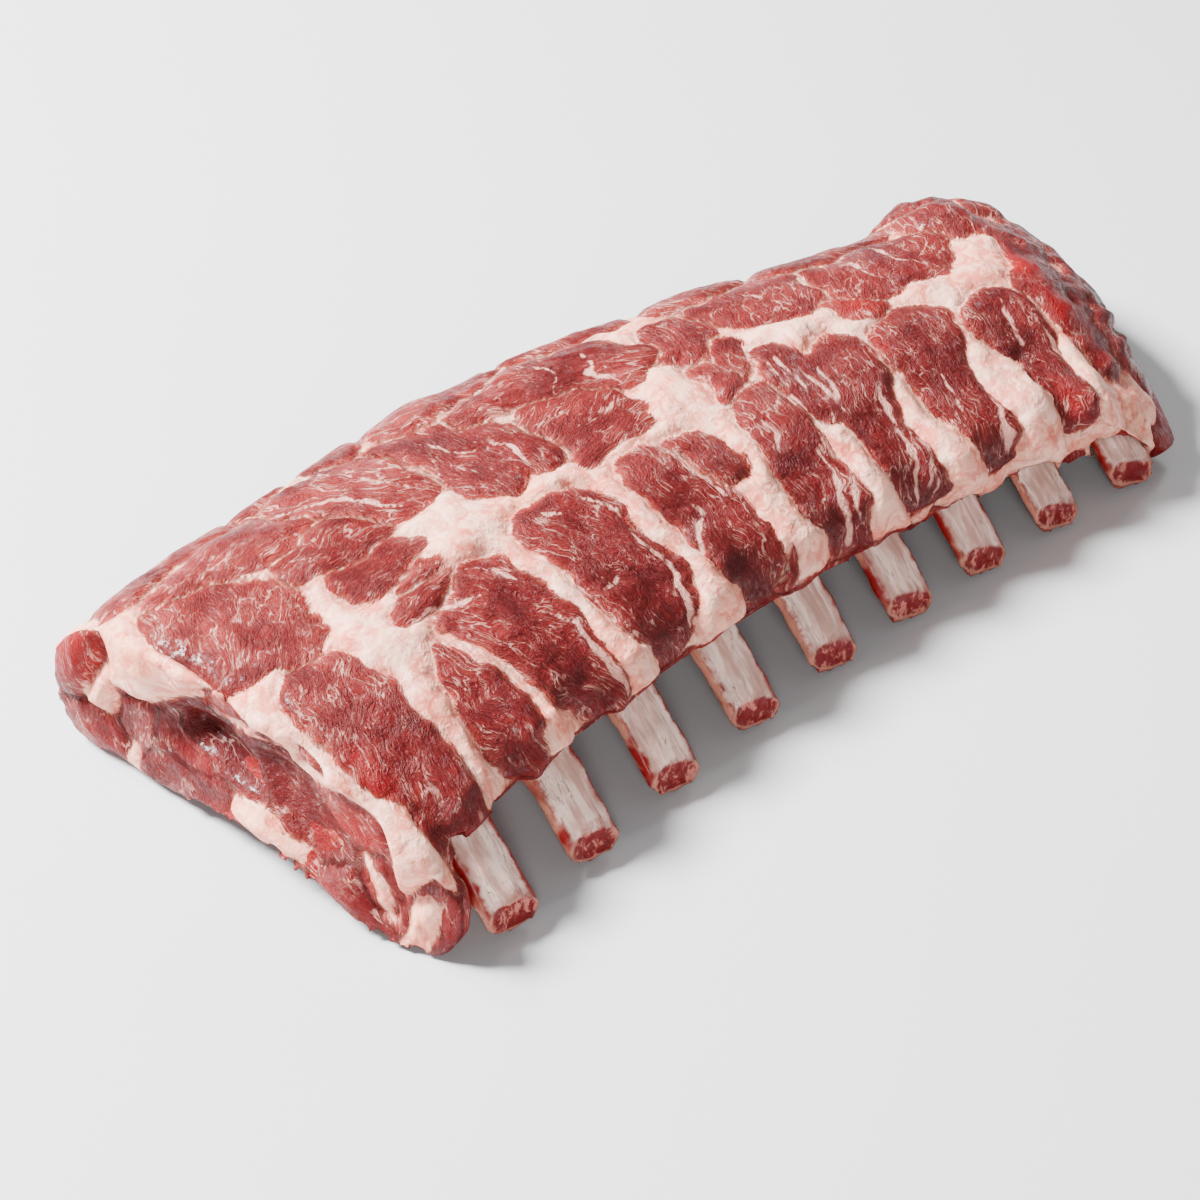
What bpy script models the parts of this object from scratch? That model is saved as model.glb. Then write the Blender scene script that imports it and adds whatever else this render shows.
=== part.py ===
"""A raw rack of ribs: one arched slab of meat with nine rib bones set in its underside.

The rack lies bone side down. +X runs along the rack, across the ribs, from the wide end to the
narrow one; -Y is the side where the trimmed rib ends stand out; +Z is up. The slab and the ribs are
laid out from the row of sawn rib ends, at y = 0, and their parent then moves the whole rack so that
the origin is under its middle, on the table.
"""

import math

import bmesh
import bpy
from mathutils import Vector, noise

MM = 0.001

# The ribs
RIB_COUNT = 9
RIB_PITCH = 31.6 * MM            # from one rib to the next, at the ends of the rack
PITCH_SPREAD = 4.6 * MM          # how far the middle ribs are spread beyond that pitch
FIRST_RIB_X = -121.8 * MM
RIB_WIDTH = 18.0 * MM            # along the rack
RIB_THICKNESS = 7.4 * MM         # square to the rib's own line
SINEW_REACH = 4.5 * MM           # how far the sinew spreads to each side where the rib leaves the meat
SINEW_AT_TIP = 0.5 * MM
TIP_HEIGHT = 5.3 * MM            # the rib's middle line above the table, at its sawn end
TIP_SLOPE = 1.1                  # rise over run of the bare end
BARE_RUN = 14 * MM               # the stretch of a rib that is straight
BEND_RUN = 20 * MM               # the stretch after it, over which the rib levels out
RIB_END_HEIGHT = 11 * MM         # the middle line at the rib's inner end
RIB_END_INSET = 22 * MM          # from that end to the back of the slab
SAW_LINE_BOW = 8.5 * MM          # the row of sawn ends bows in by this much at mid-length
SAW_LINE_HALF = 127 * MM
SAW_SKEW_NEAR = 0.08             # the saw cut runs a little askew, more so at the narrow end
SAW_SKEW_FAR = 0.25

# The slab
END_MARGIN_NEAR = 0.93           # slab beyond the first rib, in rib pitches
END_MARGIN_FAR = 0.37            # and beyond the last one, at the top edge
BACK_NEAR = 140 * MM             # the slab's back edge, at the wide end
BACK_FAR = 101 * MM              # and at the narrow end
TAPER_FROM = 0.40                # share of the length after which the back edge draws in
LIP_SETBACK_NEAR = 17.5 * MM     # from the saw line back to the edge of the meat
LIP_SETBACK_FAR = 6 * MM
LIP_HEIGHT = 26.5 * MM
END_SAG = 4 * MM                 # the lip hangs by this much at the ends of the rack
CROWN_MIDDLE = 58 * MM           # height of the slab
CROWN_NEAR = 51.5 * MM
CROWN_FAR = 50 * MM
FOOT_INSET = 3.5 * MM            # the flat foot along the back, in from the back edge
FOOT_WIDTH = 9 * MM
BONE_STANDOUT = 2.4 * MM         # how far the ribs stand out of the slab's underside
FLAP_HEIGHT = 1.0 * MM           # the loose flap under each end hangs down to this height
FLAP_ARCH = 9 * MM               # and is this much higher half-way across
FLAP_LENGTH = 17 * MM
NEAR_END_SLANT = -0.02           # the wide end is a little longer at the back
NEAR_END_RAKE = 9 * MM           # and leans in towards its front top corner
NEAR_END_HOLLOW = 5 * MM
FAR_END_SLANT = 0.37             # the narrow end is cut askew
FAR_END_BULGE = 24 * MM          # and bulges out below its top edge
FAR_BULGE_SPREAD = 0.06          # more so towards the back

# Relief
RIDGE_HEIGHT = 1.3 * MM          # fat ridge over each rib
KNOB_HEIGHT = 6.5 * MM           # knob of fat on top of each rib where it leaves the meat
KNOB_REACH = 2.5 * MM
UNEVENNESS = 1.8 * MM            # of the muscles
UNEVEN_SIZE = 21 * MM
LUMPS = (                        # where each is, how far it reaches, and how it is pushed out
    ((-144, 9, 13), 27, (6, -13, -8)),      # beside the first rib
    ((-152, 130, 20), 24, (-2, 1, 1)),      # the wide end's back corner
    ((148, 5, 18), 18, (-2, -8, -7)),       # beside the last rib
    ((153, 93, 42), 26, (0, 6, 3)),         # end of the long muscle at the narrow end
)
FIT_GAP = 0.3 * MM               # between a rib and the meat round it

# Faceting
STATIONS_PER_PITCH = 5
ROWS_ACROSS = 20
ROWS_THROUGH = 4
RIB_SIDES = 10
RIB_BARE_STEPS = 4
RIB_HIDDEN_STEPS = 5

COLOURS = {
    "raw_meat": ((0.50, 0.18, 0.16, 1), 0.38),
    "rib_bone": ((0.62, 0.48, 0.42, 1), 0.5),
}


def smooth_step(low, high, value):
    share = min(1, max(0, (value - low) / (high - low)))
    return share * share * (3 - 2 * share)


def mix(a, b, share):
    return a + (b - a) * share


def rib_x(place):
    """Where rib number `place` lies along the rack; a fraction gives a place between two ribs."""
    along = min(1, max(0, place / (RIB_COUNT - 1)))
    return FIRST_RIB_X + RIB_PITCH * place + PITCH_SPREAD * math.sin(math.pi * along) ** 2


def saw_line_y(x):
    return SAW_LINE_BOW * (1 - abs(x / SAW_LINE_HALF) ** 1.6)


def length_share(x):
    start, end = rib_x(-END_MARGIN_NEAR), rib_x(RIB_COUNT - 1 + END_MARGIN_FAR)
    return min(1, max(0, (x - start) / (end - start)))


def back_y(x):
    return mix(BACK_NEAR, BACK_FAR, max(0, (length_share(x) - TAPER_FROM) / (1 - TAPER_FROM)) ** 1.35)


def lip_y(x):
    return saw_line_y(x) + mix(LIP_SETBACK_NEAR, LIP_SETBACK_FAR, length_share(x) ** 1.5)


def end_sag(x):
    """How far the lip hangs towards each end of the rack."""
    return END_SAG * abs(2 * length_share(x) - 1) ** 2.5


def crown_z(x):
    share = length_share(x)
    end = CROWN_NEAR if share < 0.5 else CROWN_FAR
    return mix(CROWN_MIDDLE, end, abs(2 * share - 1) ** 2.2)


def rib_z(x, run):
    """Height of a rib's middle line at a distance `run` in from its sawn end."""
    straight = min(run, BARE_RUN)
    z = TIP_HEIGHT + TIP_SLOPE * straight
    bend = min(max(run - BARE_RUN, 0), BEND_RUN)
    z += TIP_SLOPE * (bend - bend * bend / (2 * BEND_RUN))
    level = TIP_HEIGHT + TIP_SLOPE * (BARE_RUN + BEND_RUN / 2)
    descent = back_y(x) - RIB_END_INSET - saw_line_y(x) - BARE_RUN - BEND_RUN
    past = max(run - BARE_RUN - BEND_RUN, 0)
    return z - (level - RIB_END_HEIGHT) * (past / descent) ** 2


def curve_through(points, share):
    """A point on the smooth curve through `points`, at a share of the way along it."""
    gaps = [(points[i + 1] - points[i]).length for i in range(len(points) - 1)]
    target = share * sum(gaps)
    i = 0
    while i < len(gaps) - 1 and target > gaps[i]:
        target -= gaps[i]
        i += 1
    t = min(1, target / gaps[i])
    before = points[i - 1] if i else points[i] * 2 - points[i + 1]
    after = points[i + 2] if i + 2 < len(points) else points[i + 1] * 2 - points[i]
    return 0.5 * (
        2 * points[i]
        + (points[i + 1] - before) * t
        + (2 * before - 5 * points[i] + 4 * points[i + 1] - after) * t ** 2
        + (3 * points[i] - before - 3 * points[i + 1] + after) * t ** 3
    )


def upper_outline(x, over_rib):
    """The slab's skin as (y, z) points, from the foot of its back to its front lip."""
    back, lip, crown = back_y(x), lip_y(x), crown_z(x)
    width = back - lip
    lip_z = LIP_HEIGHT - end_sag(x) + KNOB_HEIGHT * over_rib
    reach = KNOB_REACH * over_rib
    ridge = RIDGE_HEIGHT * (over_rib - 0.5)
    return [
        Vector((back + 0.5 * MM, 6 * MM)),
        Vector((back + 2 * MM, 19 * MM)),
        Vector((back - 0.5 * MM, 0.64 * crown)),
        Vector((back - 6 * MM, crown - 9.5 * MM)),
        Vector((back - 18 * MM, crown - 3 * MM)),
        Vector((back - 38 * MM, crown)),
        Vector((lip + 0.42 * width, crown - 0.5 * MM + 0.3 * ridge)),
        Vector((lip + 28 * MM, crown - 5 * MM + ridge)),
        Vector((lip + 13 * MM, crown - 12 * MM + ridge)),
        Vector((lip + 4 * MM - reach, 0.3 * crown + 0.7 * lip_z + 1.5 * MM + ridge)),
        Vector((lip - reach, lip_z)),
    ]


def under_z(x, y):
    """Height of the slab's underside, which follows the ribs and drops to the flat foot."""
    run = y - saw_line_y(x)
    across = (y - lip_y(x)) / (back_y(x) - lip_y(x))
    arch = rib_z(x, run) - RIB_THICKNESS / 2 + BONE_STANDOUT - end_sag(x) * max(0, 1 - 3 * across)
    foot_y = back_y(x) - FOOT_INSET - FOOT_WIDTH
    arch *= 1 - smooth_step(back_y(x) - RIB_END_INSET, foot_y, y)
    to_end = min(x - rib_x(-END_MARGIN_NEAR), rib_x(RIB_COUNT - 1 + END_MARGIN_FAR) - x)
    low = FLAP_HEIGHT + FLAP_ARCH * math.sin(math.pi * min(1, max(0, 2 * across - 0.3)))
    drop = (1 - smooth_step(0, FLAP_LENGTH, to_end)) * smooth_step(0, FLAP_ARCH, arch - low)
    return max(0, mix(arch, low, drop))


def unevenness(x, y, z):
    """Unevenness of the muscles, between -1 and 1."""
    return noise.noise(Vector((x, y, z)) / UNEVEN_SIZE)


def slab_point(along, across, through):
    """Maps a point of a box, each share from 0 to 1, to the slab.

    `along` runs from the wide end to the narrow one, `across` from back to front, and `through`
    from the underside to the skin."""
    first, last = -END_MARGIN_NEAR, RIB_COUNT - 1 + END_MARGIN_FAR
    place = mix(first, last, along)
    x = rib_x(place)
    over_rib = 0.5 + 0.5 * math.cos(2 * math.pi * place)
    upper = curve_through(upper_outline(x, over_rib), across)
    foot_y, inner_lip_y = back_y(x) - FOOT_INSET, lip_y(x) + 2.5 * MM
    lower_y = mix(foot_y, inner_lip_y, across ** 0.9)
    lower = Vector((lower_y, under_z(x, lower_y)))
    y, z = lower.lerp(upper, through)

    near, far = 1 - smooth_step(0, 0.16, along), smooth_step(0.84, 1, along)
    depth = y - saw_line_y(x)
    belly = 1 - (abs(through - 0.4) / 0.6) ** 2
    x += near * (NEAR_END_SLANT * depth + NEAR_END_RAKE * through * across)
    x += far * FAR_END_SLANT * (depth - 40 * MM)
    x += far ** 3 * belly * (FAR_END_BULGE + FAR_BULGE_SPREAD * depth)
    if along == 0:
        x += NEAR_END_HOLLOW * math.sin(math.pi * through) * math.sin(math.pi * across)

    if through > 0:
        away = UNEVENNESS * through * unevenness(x, y, z)
        rounding = 3 * MM * through * (smooth_step(0.03, 0, along) + smooth_step(0.97, 1, along))
        z += away - rounding
        x += 1.2 * away * (near - far)
    return pushed_out(Vector((x, y, z)))


def pushed_out(point):
    for centre, reach, push in LUMPS:
        closeness = 1 - (point - Vector(centre) * MM).length / (reach * MM)
        if closeness > 0:
            point = point + Vector(push) * MM * smooth_step(0, 1, closeness * 1.4)
    point.z = max(point.z, 0)
    return point


def material(name):
    made = bpy.data.materials.new(name)
    made.use_nodes = True
    colour, roughness = COLOURS[name]
    shader = made.node_tree.nodes["Principled BSDF"]
    shader.inputs["Base Color"].default_value = colour
    shader.inputs["Roughness"].default_value = roughness
    made.diffuse_color = colour
    return made


def add_object(name, mesh, parent, finish=None):
    made = bpy.data.objects.new(name, mesh)
    bpy.context.scene.collection.objects.link(made)
    made.parent = parent
    if finish:
        mesh.materials.append(finish)
    return made


def divided_box(cuts):
    """A unit box whose faces are grids, with that many cuts along X, Y and Z."""
    box = bmesh.new()
    bmesh.ops.create_cube(box, size=1)
    bmesh.ops.translate(box, verts=box.verts, vec=(0.5, 0.5, 0.5))
    for axis, count in enumerate(cuts):
        edges = [
            edge for edge in box.edges
            if abs(edge.verts[0].co[axis] - edge.verts[1].co[axis]) > 0.5
        ]
        bmesh.ops.subdivide_edges(box, edges=edges, cuts=count, use_grid_fill=True)
    return box


def make_slab(parent):
    """The meat, as a finely divided box whose points are moved onto the slab."""
    pitches = RIB_COUNT - 1 + END_MARGIN_NEAR + END_MARGIN_FAR
    stations = round(pitches * STATIONS_PER_PITCH)
    box = divided_box((stations - 1, ROWS_ACROSS - 1, ROWS_THROUGH - 1))
    for vertex in box.verts:
        shares = [min(1, max(0, round(value, 5))) for value in vertex.co]
        vertex.co = slab_point(*shares)
    bmesh.ops.triangulate(box, faces=box.faces)
    bmesh.ops.recalc_face_normals(box, faces=box.faces)
    mesh = bpy.data.meshes.new("meat")
    box.to_mesh(mesh)
    box.free()
    mesh.shade_smooth()
    return add_object("meat", mesh, parent, material("raw_meat"))


def rib_section(run, grow):
    """The rib's cross-section at a distance in from its sawn end, as (across, up) points.

    The bone is a flattened ring, and the sinew is a thin skirt at the foot of each side."""
    half, thick = RIB_WIDTH / 2, RIB_THICKNESS / 2
    root = LIP_SETBACK_NEAR + 2 * MM
    spread = (run / root) ** 2.2 if run < root else 1 - smooth_step(root, root + 9 * MM, run)
    skirt = mix(SINEW_AT_TIP, SINEW_REACH, spread)
    points = []
    for side in range(RIB_SIDES):
        angle = 2 * math.pi * side / RIB_SIDES
        across = math.copysign(abs(math.cos(angle)) ** 0.7, math.cos(angle)) * half
        up = math.copysign(abs(math.sin(angle)) ** 0.8, math.sin(angle)) * thick
        if math.sin(angle) < -0.1:
            across += skirt * math.cos(angle)
        points.append(Vector((across, up)))
    return offset_outline(points, grow)


def offset_outline(points, distance):
    """The outline with each side moved outwards; the points run anticlockwise."""
    moved = []
    for i, point in enumerate(points):
        into = (point - points[i - 1]).normalized()
        out = (points[(i + 1) % len(points)] - point).normalized()
        normals = Vector((into.y, -into.x)), Vector((out.y, -out.x))
        bisector = (normals[0] + normals[1]).normalized()
        moved.append(point + bisector * distance / max(0.5, bisector.dot(normals[0])))
    return moved


def rib_mesh(number, grow=0.0, overrun=0.0):
    """A rib from its sawn end inwards. `grow` fattens it and `overrun` lengthens it, for the cutter."""
    x = rib_x(number)
    saw_y = saw_line_y(x)
    root = LIP_SETBACK_NEAR + 2 * MM
    length = back_y(x) - RIB_END_INSET - saw_y
    runs = [-overrun - RIB_THICKNESS]
    runs += [mix(0, root, i / RIB_BARE_STEPS) for i in range(RIB_BARE_STEPS)]
    runs += [
        mix(root, length, (i / RIB_HIDDEN_STEPS) ** 1.2) for i in range(RIB_HIDDEN_STEPS + 1)
    ]
    runs[-1] += grow
    shape = bmesh.new()
    rings = []
    for run in runs:
        slope = (rib_z(x, run + MM) - rib_z(x, run - MM)) / (2 * MM) if run > 0 else TIP_SLOPE
        line_z = rib_z(x, run) if run > 0 else TIP_HEIGHT + TIP_SLOPE * run
        normal = Vector((0, -slope, 1)).normalized()
        middle = Vector((x, saw_y + run, line_z))
        rings.append([
            shape.verts.new(middle + Vector((across, 0, 0)) + normal * up)
            for across, up in rib_section(max(run, 0), grow)
        ])
    for ring, following in zip(rings, rings[1:]):
        for i in range(RIB_SIDES):
            j = (i + 1) % RIB_SIDES
            shape.faces.new((ring[i], ring[j], following[j], following[i]))
    shape.faces.new(rings[0])
    shape.faces.new(rings[-1])
    if not overrun:
        cut = bmesh.ops.bisect_plane(
            shape,
            geom=shape.verts[:] + shape.edges[:] + shape.faces[:],
            plane_co=(x, saw_y, 0),
            plane_no=(-mix(SAW_SKEW_NEAR, SAW_SKEW_FAR, length_share(x)), -1, 0),
            clear_outer=True,
        )
        edges = [part for part in cut["geom_cut"] if isinstance(part, bmesh.types.BMEdge)]
        bmesh.ops.contextual_create(shape, geom=edges)
        for vertex in shape.verts:
            vertex.co.z = max(vertex.co.z, 0)
    bmesh.ops.triangulate(shape, faces=shape.faces)
    bmesh.ops.recalc_face_normals(shape, faces=shape.faces)
    mesh = bpy.data.meshes.new(f"rib_{number + 1}")
    shape.to_mesh(mesh)
    shape.free()
    mesh.shade_smooth()
    mesh.set_sharp_from_angle(angle=math.radians(50))
    return mesh


def make_ribs(parent):
    bone = material("rib_bone")
    for number in range(RIB_COUNT):
        add_object(f"rib_{number + 1}", rib_mesh(number), parent, bone)


def cut_rib_beds(slab, parent):
    """Cuts the groove that each rib lies in out of the slab."""
    for number in range(RIB_COUNT):
        cutter = add_object(
            f"rib_bed_{number + 1}", rib_mesh(number, grow=FIT_GAP, overrun=6 * MM), parent
        )
        cutter.hide_render = True
        cutter.display_type = "WIRE"
        bed = slab.modifiers.new(f"bed_{number + 1}", "BOOLEAN")
        bed.operation = "DIFFERENCE"
        bed.object = cutter


def centre_on_table(root):
    """Moves everything so that the origin is under the middle of the rack, at table height."""
    bpy.context.view_layer.update()
    graph = bpy.context.evaluated_depsgraph_get()
    corners = [
        part.matrix_world @ Vector(corner)
        for part in (child.evaluated_get(graph) for child in root.children if not child.hide_render)
        for corner in part.bound_box
    ]
    low = Vector(min(c[axis] for c in corners) for axis in range(3))
    high = Vector(max(c[axis] for c in corners) for axis in range(3))
    root.location = (-(low.x + high.x) / 2, -(low.y + high.y) / 2, -low.z)


def main():
    for old in list(bpy.data.objects):
        bpy.data.objects.remove(old)
    root = bpy.data.objects.new("rack", None)
    bpy.context.scene.collection.objects.link(root)
    slab = make_slab(root)
    make_ribs(root)
    cut_rib_beds(slab, root)
    centre_on_table(root)
    print("rack placed at", [round(value / MM, 2) for value in root.location], "mm")


main()
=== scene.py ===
# %% [markdown]
# # A raw rack of ribs
# This notebook dresses the solid model of a rack of pork ribs: one slab of meat, in which dark
# muscles lie between seams of cream fat, and nine rib bones whose scraped ends stand out of it.
# The model of the shapes is loaded first, and the pieces below are made from it.

import math

import bpy
import numpy as np
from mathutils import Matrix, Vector, noise


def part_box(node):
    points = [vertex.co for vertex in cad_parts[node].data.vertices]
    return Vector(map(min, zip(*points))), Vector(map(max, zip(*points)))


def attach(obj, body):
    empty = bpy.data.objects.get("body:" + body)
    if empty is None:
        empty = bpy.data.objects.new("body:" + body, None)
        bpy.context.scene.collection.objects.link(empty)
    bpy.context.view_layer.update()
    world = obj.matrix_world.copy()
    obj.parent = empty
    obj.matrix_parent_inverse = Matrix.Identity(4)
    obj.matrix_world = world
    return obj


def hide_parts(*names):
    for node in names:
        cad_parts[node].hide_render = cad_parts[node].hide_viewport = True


MM = 0.001
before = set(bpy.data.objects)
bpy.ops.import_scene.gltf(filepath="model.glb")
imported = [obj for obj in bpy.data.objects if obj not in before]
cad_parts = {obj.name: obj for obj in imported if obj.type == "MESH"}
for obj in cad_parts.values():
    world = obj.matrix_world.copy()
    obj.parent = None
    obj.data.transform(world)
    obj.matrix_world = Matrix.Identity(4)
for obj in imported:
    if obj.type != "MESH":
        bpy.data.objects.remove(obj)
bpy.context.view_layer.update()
rib_nodes = sorted(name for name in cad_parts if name.startswith("rib_"))
print("nodes:", len(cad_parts), "ribs:", len(rib_nodes))

# %% [markdown]
# ## Working with meshes
# The sculpting is done on arrays: a mesh of nearly a hundred thousand points is read into one
# array, moved by formulas, and written back. These helpers do that, and run the few modelling
# operators that every piece needs.


# %% Helpers for meshes
PULL_IN, PUSH_OUT = 0.5, -0.52
ABOVE_TABLE = 0.02  # mm between the lowest points and the table


def activate(piece):
    """Deselects everything else, so that an operator acts on this piece alone."""
    for other in bpy.context.selected_objects:
        other.select_set(False)
    piece.select_set(True)
    bpy.context.view_layer.objects.active = piece


def copy_of(node, name):
    """A new piece with a node's shape, its loose triangles joined to one skin."""
    piece = bpy.data.objects.new(name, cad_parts[node].data.copy())
    bpy.context.scene.collection.objects.link(piece)
    piece.data.materials.clear()
    activate(piece)
    bpy.ops.object.mode_set(mode="EDIT")
    bpy.ops.mesh.select_all(action="SELECT")
    bpy.ops.mesh.remove_doubles(threshold=0.01 * MM)
    bpy.ops.object.mode_set(mode="OBJECT")
    return piece


def remeshed(piece, voxel):
    """Rebuilds the skin as small even squares, fine enough to be sculpted."""
    activate(piece)
    step = piece.modifiers.new("fine_skin", "REMESH")
    step.mode = "VOXEL"
    step.voxel_size = voxel
    bpy.ops.object.modifier_apply(modifier=step.name)


def vectors_of(mesh, kind):
    """The place ("co") or the outward direction ("normal") of every point."""
    flat = np.empty(len(mesh.vertices) * 3)
    mesh.vertices.foreach_get(kind, flat)
    return flat.reshape(-1, 3)


def set_points(mesh, points):
    mesh.vertices.foreach_set("co", (points * MM).ravel())
    mesh.update()


def averaging_over(mesh):
    """A function that gives, for each point, the mean of a number over its neighbours."""
    flat = np.empty(len(mesh.edges) * 2, dtype=int)
    mesh.edges.foreach_get("vertices", flat)
    first, second = flat.reshape(-1, 2).T
    count = len(mesh.vertices)
    neighbours = np.bincount(first, minlength=count) + np.bincount(second, minlength=count)

    def average(values):
        total = np.bincount(first, values[second], count) + np.bincount(second, values[first], count)
        return total / neighbours

    return average


def smoothed(mesh, points, rounds):
    """Evens the points out without shrinking the shape: each pull in is followed by a push out."""
    average = averaging_over(mesh)
    for _ in range(rounds):
        for pull in (PULL_IN, PUSH_OUT):
            for axis in range(3):
                column = points[:, axis]
                points[:, axis] = column + pull * (average(column) - column)
    return points


def spread(mesh, values, rounds):
    """Evens a number out over the neighbouring points."""
    average = averaging_over(mesh)
    for _ in range(rounds):
        values = 0.5 * values + 0.5 * average(values)
    return values


def settled(mesh, points, share, rounds):
    """Draws each point a share of the way to where long smoothing would take it."""
    smooth = np.stack([spread(mesh, points[:, axis], rounds) for axis in range(3)], 1)
    return points * (1 - share)[:, None] + smooth * share[:, None]


def smooth_step(low, high, value):
    share = np.clip((value - low) / (high - low), 0, 1)
    return share * share * (3 - 2 * share)


def patch(u, v, middle_u, middle_v, reach_u, reach_v, rim=1.0, core=0.3):
    """1 in the core of an oval patch, falling to 0 at its rim."""
    far = np.hypot((u - middle_u) / reach_u, (v - middle_v) / reach_v)
    return smooth_step(rim, core, far)


def noise_at(points, size, seed):
    """Soft random values between about -1 and 1 that change over `size` millimetres."""
    shift = Vector((seed, -seed, 2 * seed))
    return np.array([noise.noise(Vector(point) / size + shift) for point in points])


def store(mesh, name, values):
    """Keeps a number, or three, for each point, where the material can read it."""
    kind, key = ("FLOAT", "value") if values.ndim == 1 else ("FLOAT_VECTOR", "vector")
    mesh.attributes.new(name, kind, "POINT").data.foreach_set(key, values.ravel().astype(np.float32))


# %% [markdown]
# ## A map of the skin
# A butcher would describe a rack by two measures: how far along it a place is, and how far round
# from the front edge over the top to the back. So each point of the skin gets `along`, which is
# its X in millimetres, and `turn`, the angle in degrees about a line inside the slab. On this
# size of rack a degree is about a millimetre, and the map is nearly true to scale.


# %% The skin's two measures
SPINE_HEIGHT = 12


def spine_y(x):
    """The line inside the slab that `turn` is measured about; it bends towards the narrow end."""
    return 9 - 26 * np.maximum(0, (x + 40) / 162) ** 1.3


def skin_map(points):
    x, y, z = points.T
    turn = np.degrees(np.arctan2(z - SPINE_HEIGHT, spine_y(x) - y))
    return x, np.where(turn < -90, turn + 360, turn)


# %% [markdown]
# ## The muscles
# Each muscle is an outline on that map, drawn with as few points as its shape needs.
# With the outline go the lie of its fibres, as an angle on the map, and how dark it is. The first
# list holds the muscles between the ribs along the front, the second those of the back.

# %% Muscles along the front, from the wide end to the narrow one
FRONT_MUSCLES = [
    (72, 0.2, [(-151, 11), (-141, 11), (-134, 19), (-133, 32), (-136, 44), (-134, 55), (-138, 64),
      (-146, 77), (-154, 76), (-161, 66), (-160, 46), (-157, 30), (-152, 24)]),
    (100, 0.3, [(-125, 13), (-118, 15), (-112, 21), (-108, 29), (-110, 40), (-114, 49), (-119, 56),
      (-123, 50), (-127, 40), (-128, 22)]),
    (118, 0.2, [(-97, 18), (-84, 15), (-80, 22), (-80, 44), (-82, 60), (-86, 69), (-96, 74), (-101, 72),
      (-104, 66), (-111, 65), (-114, 60), (-112, 54), (-108, 48), (-107, 38), (-104, 27)]),
    (10, 0.1, [(-119, 69), (-114, 66), (-105, 67), (-98, 73), (-99, 77), (-112, 76), (-118, 74)]),
    (20, -0.1, [(-112, 79), (-106, 77), (-99, 78), (-99, 82), (-102, 85), (-109, 84)]),
    (105, 0.35, [(-64, 16), (-56, 17), (-51, 24), (-46, 30), (-44, 40), (-47, 50), (-46, 60), (-47, 68),
      (-53, 75), (-62, 77), (-75, 77), (-76, 60), (-75, 46), (-72, 30), (-66, 22)]),
    (92, 0.35, [(-30, 16), (-22, 16), (-18, 22), (-18, 30), (-15, 40), (-16, 48), (-19, 52), (-20, 60),
      (-22, 70), (-27, 75), (-34, 75), (-40, 68), (-40, 46), (-39, 34), (-34, 26), (-31, 20)]),
    (88, 0.4, [(-19, 51), (-14, 48), (-8, 50), (-6, 56), (-8, 64), (-10, 73), (-18, 74), (-21, 72),
      (-19, 60)]),
    (60, -0.2, [(-20, 15), (-13, 18), (-12, 23), (-14, 28), (-16, 22)]),
    (80, 0.3, [(3, 17), (12, 14), (16, 18), (16, 30), (18, 44), (20, 56), (20, 76), (12, 78), (7, 72),
      (3, 66), (2, 58), (-2, 52), (-2, 44), (-5, 36), (-3, 30), (2, 25)]),
    (72, 0.05, [(7, 76), (12, 79), (16, 86), (21, 88), (23, 96), (27, 104), (22, 107), (13, 102),
      (9, 100), (8, 88)]),
    (76, 0.5, [(32, 17), (42, 16), (45, 24), (43, 38), (47, 52), (53, 60), (54, 74), (53, 84), (47, 89),
      (41, 84), (36, 80), (33, 88), (30, 96), (26, 92), (21, 84), (20, 54), (26, 52), (27, 44),
      (25, 34), (28, 26)]),
    (84, 0.4, [(62, 17), (70, 16), (72, 24), (72, 34), (74, 46), (77, 56), (82, 62), (83, 72), (82, 82),
      (76, 88), (68, 86), (60, 80), (55, 72), (54, 56), (53, 48), (54, 36), (58, 28), (60, 22)]),
    (80, 0.35, [(94, 16), (99, 22), (100, 34), (103, 44), (109, 50), (110, 60), (110, 72), (107, 80),
      (101, 82), (97, 78), (88, 74), (85, 64), (86, 56), (89, 48), (93, 46), (96, 50), (93, 40),
      (91, 30), (92, 22)]),
]

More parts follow.
